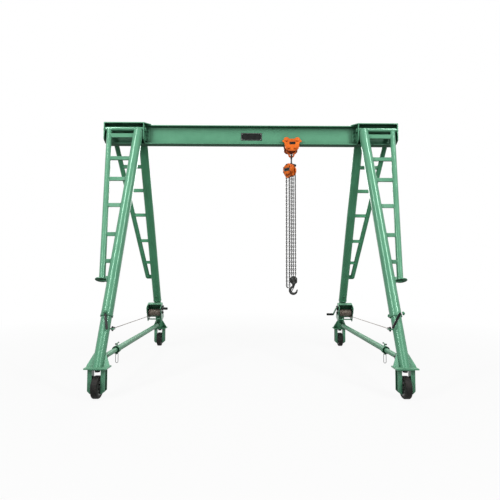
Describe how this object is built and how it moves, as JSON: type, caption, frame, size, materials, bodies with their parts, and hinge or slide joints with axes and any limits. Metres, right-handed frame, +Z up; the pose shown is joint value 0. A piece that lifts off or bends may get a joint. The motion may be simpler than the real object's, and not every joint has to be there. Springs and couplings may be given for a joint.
{
  "type": "gantry crane",
  "caption": "Portable gantry crane: an I-beam on hinged ladder A-frames with swivel casters, telescoping spreaders and hand winches, with a push trolley and chain hoist.",
  "frame": {"origin": "on the floor, under the middle of the beam", "axes": "+X along the beam to the right of the picture, +Y to the back, +Z up"},
  "size_m": [3.658, 2.803, 3.002],
  "materials": {
    "green_paint": "machine enamel",
    "orange_paint": "gloss enamel",
    "dark_steel": "blackened",
    "zinc_steel": "zinc plated",
    "wire_rope": "greased strand",
    "tyre": "solid rubber",
    "wheel_iron": "cast"
  },
  "bodies": {
    "beam": {"main_beam": "green_paint", "beam_clip_angles": "green_paint", "left_header_cover": "green_paint", "left_header_plates": "green_paint", "left_pivot_bars": "dark_steel", "right_header_cover": "green_paint", "right_header_plates": "green_paint", "right_pivot_bars": "dark_steel"},
    "left_front_leg": {"left_front_ladder_leg": "green_paint", "left_front_lower_leg": "green_paint", "left_front_lock_bolt": "dark_steel"},
    "left_front_caster": {"left_front_caster_fork": "green_paint"},
    "left_front_wheel": {"left_front_tyre": "tyre", "left_front_wheel_hub": "wheel_iron"},
    "left_rear_leg": {"left_rear_ladder_leg": "green_paint", "left_rear_lower_leg": "green_paint", "left_rear_lock_bolt": "dark_steel", "left_winch_frame": "green_paint"},
    "left_rear_caster": {"left_rear_caster_fork": "green_paint"},
    "left_rear_wheel": {"left_rear_tyre": "tyre", "left_rear_wheel_hub": "wheel_iron"},
    "left_spreader_inner": {"left_spreader_inner": "green_paint"},
    "left_spreader_outer": {"left_spreader_outer": "green_paint", "left_keeper_clip": "zinc_steel", "left_winch_cable": "wire_rope"},
    "left_winch_drum": {"left_winch_drum": "wire_rope"},
    "left_winch_crank": {"left_winch_crank": "dark_steel"},
    "right_front_leg": {"right_front_ladder_leg": "green_paint", "right_front_lower_leg": "green_paint", "right_front_lock_bolt": "dark_steel"},
    "right_front_caster": {"right_front_caster_fork": "green_paint"},
    "right_front_wheel": {"right_front_tyre": "tyre", "right_front_wheel_hub": "wheel_iron"},
    "right_rear_leg": {"right_rear_ladder_leg": "green_paint", "right_rear_lower_leg": "green_paint", "right_rear_lock_bolt": "dark_steel", "right_winch_frame": "green_paint"},
    "right_rear_caster": {"right_rear_caster_fork": "green_paint"},
    "right_rear_wheel": {"right_rear_tyre": "tyre", "right_rear_wheel_hub": "wheel_iron"},
    "right_spreader_inner": {"right_spreader_inner": "green_paint"},
    "right_spreader_outer": {"right_spreader_outer": "green_paint", "right_keeper_clip": "zinc_steel", "right_winch_cable": "wire_rope"},
    "right_winch_drum": {"right_winch_drum": "wire_rope"},
    "right_winch_crank": {"right_winch_crank": "dark_steel"},
    "trolley": {"trolley_side_plates": "orange_paint", "trolley_wheels": "dark_steel", "trolley_load_plate": "orange_paint"},
    "hoist": {"hoist_body": "orange_paint", "hoist_hand_wheel_cover": "orange_paint", "hoist_gear_case": "orange_paint", "hoist_top_hook": "dark_steel", "hand_chain": "zinc_steel", "load_chain": "zinc_steel"},
    "hook_block": {"hook_block": "dark_steel"},
    "load_hook": {"load_hook": "dark_steel"}
  },
  "joints": [
    {"name": "left_front_leg_swing", "type": "hinge", "parent": "beam", "child": "left_front_leg", "pos_m": [-1.404, -0.088, 2.923], "axis": [1, 0, 0], "range_deg": [0, 3], "deforming": ["left_winch_cable"]},
    {"name": "left_front_caster_swivel", "type": "hinge", "parent": "left_front_leg", "child": "left_front_caster", "pos_m": [-1.404, -1.2999, 0.26], "axis": [0, 0, 1], "continuous": true},
    {"name": "left_front_wheel_roll", "type": "hinge", "parent": "left_front_caster", "child": "left_front_wheel", "pos_m": [-1.404, -1.2999, 0.1016], "axis": [1, 0, 0], "continuous": true},
    {"name": "left_rear_leg_swing", "type": "hinge", "parent": "beam", "child": "left_rear_leg", "pos_m": [-1.404, 0.088, 2.923], "axis": [-1, 0, 0], "range_deg": [0, 3]},
    {"name": "left_rear_caster_swivel", "type": "hinge", "parent": "left_rear_leg", "child": "left_rear_caster", "pos_m": [-1.404, 1.2999, 0.26], "axis": [0, 0, 1], "continuous": true},
    {"name": "left_rear_wheel_roll", "type": "hinge", "parent": "left_rear_caster", "child": "left_rear_wheel", "pos_m": [-1.404, 1.2999, 0.1016], "axis": [1, 0, 0], "continuous": true},
    {"name": "left_spreader_inner_pivot", "type": "hinge", "parent": "left_front_leg", "child": "left_spreader_inner", "pos_m": [-1.404, -1.13169, 0.34], "axis": [-1, 0, 0], "range_deg": [0, 3]},
    {"name": "left_spreader_outer_pivot", "type": "hinge", "parent": "left_rear_leg", "child": "left_spreader_outer", "pos_m": [-1.404, 1.13169, 0.34], "axis": [1, 0, 0], "range_deg": [0, 3]},
    {"name": "left_winch_crank_turn", "type": "hinge", "parent": "left_rear_leg", "child": "left_winch_crank", "pos_m": [-1.404, 0.99581, 0.6069], "axis": [1, 0, 0], "continuous": true},
    {"name": "left_winch_drum_turn", "type": "hinge", "parent": "left_rear_leg", "child": "left_winch_drum", "pos_m": [-1.404, 1.02563, 0.54136], "axis": [1, 0, 0], "continuous": true},
    {"name": "right_front_leg_swing", "type": "hinge", "parent": "beam", "child": "right_front_leg", "pos_m": [1.404, -0.088, 2.923], "axis": [1, 0, 0], "range_deg": [0, 3], "deforming": ["right_winch_cable"]},
    {"name": "right_front_caster_swivel", "type": "hinge", "parent": "right_front_leg", "child": "right_front_caster", "pos_m": [1.404, -1.2999, 0.26], "axis": [0, 0, 1], "continuous": true},
    {"name": "right_front_wheel_roll", "type": "hinge", "parent": "right_front_caster", "child": "right_front_wheel", "pos_m": [1.404, -1.2999, 0.1016], "axis": [1, 0, 0], "continuous": true},
    {"name": "right_rear_leg_swing", "type": "hinge", "parent": "beam", "child": "right_rear_leg", "pos_m": [1.404, 0.088, 2.923], "axis": [-1, 0, 0], "range_deg": [0, 3]},
    {"name": "right_rear_caster_swivel", "type": "hinge", "parent": "right_rear_leg", "child": "right_rear_caster", "pos_m": [1.404, 1.2999, 0.26], "axis": [0, 0, 1], "continuous": true},
    {"name": "right_rear_wheel_roll", "type": "hinge", "parent": "right_rear_caster", "child": "right_rear_wheel", "pos_m": [1.404, 1.2999, 0.1016], "axis": [1, 0, 0], "continuous": true},
    {"name": "right_spreader_inner_pivot", "type": "hinge", "parent": "right_front_leg", "child": "right_spreader_inner", "pos_m": [1.404, -1.13169, 0.34], "axis": [-1, 0, 0], "range_deg": [0, 3]},
    {"name": "right_spreader_outer_pivot", "type": "hinge", "parent": "right_rear_leg", "child": "right_spreader_outer", "pos_m": [1.404, 1.13169, 0.34], "axis": [1, 0, 0], "range_deg": [0, 3]},
    {"name": "right_winch_crank_turn", "type": "hinge", "parent": "right_rear_leg", "child": "right_winch_crank", "pos_m": [1.404, 0.99581, 0.6069], "axis": [1, 0, 0], "continuous": true},
    {"name": "right_winch_drum_turn", "type": "hinge", "parent": "right_rear_leg", "child": "right_winch_drum", "pos_m": [1.404, 1.02563, 0.54136], "axis": [1, 0, 0], "continuous": true},
    {"name": "trolley_travel", "type": "slide", "parent": "beam", "child": "trolley", "axis": [1, 0, 0], "range_m": [-1.64, 0.62]},
    {"name": "hoist_swing", "type": "hinge", "parent": "trolley", "child": "hoist", "pos_m": [0.511, 0, 2.64], "axis": [0, 1, 0], "range_deg": [-20, 20]},
    {"name": "hook_lift", "type": "slide", "parent": "hoist", "child": "hook_block", "axis": [0, 0, 1], "range_m": [0, 1], "deforming": ["load_chain"]},
    {"name": "hook_swivel", "type": "hinge", "parent": "hook_block", "child": "load_hook", "pos_m": [0.534, 0, 0.98], "axis": [0, 0, 1], "continuous": true}
  ],
  "couplings": [
    {"joint": "left_rear_leg_swing", "follows": "left_front_leg_swing", "ratio": 1},
    {"joint": "left_spreader_inner_pivot", "follows": "left_front_leg_swing", "ratio": 1},
    {"joint": "left_spreader_outer_pivot", "follows": "left_front_leg_swing", "ratio": 1},
    {"joint": "left_winch_drum_turn", "follows": "left_winch_crank_turn", "ratio": -0.25},
    {"joint": "right_rear_leg_swing", "follows": "right_front_leg_swing", "ratio": 1},
    {"joint": "right_spreader_inner_pivot", "follows": "right_front_leg_swing", "ratio": 1},
    {"joint": "right_spreader_outer_pivot", "follows": "right_front_leg_swing", "ratio": 1},
    {"joint": "right_winch_drum_turn", "follows": "right_winch_crank_turn", "ratio": -0.25}
  ]
}
